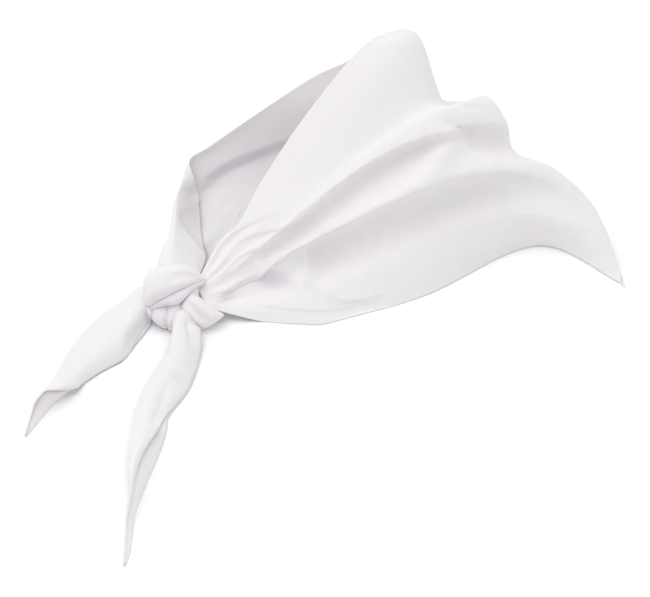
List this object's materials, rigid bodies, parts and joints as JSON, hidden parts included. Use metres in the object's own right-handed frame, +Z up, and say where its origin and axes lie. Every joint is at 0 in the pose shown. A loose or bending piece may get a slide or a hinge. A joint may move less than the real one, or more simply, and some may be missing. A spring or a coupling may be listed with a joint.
{
  "type": "tied bandana",
  "caption": "Triangular cloth bandana tied in a knot, so that its long hem makes a neck loop and its two corners hang free as tails; it lies open on a flat surface.",
  "frame": {"origin": "on the surface that the cloth lies on, under the middle of its bounding box", "axes": "+Z up; +X from the knot toward the triangle's point; the two tails lie toward -Y"},
  "size_m": [0.3604, 0.3591, 0.115],
  "materials": {
    "cotton": "plain white woven cotton, matt"
  },
  "bodies": {
    "root": {"bandana": "cotton"}
  },
  "joints": []
}
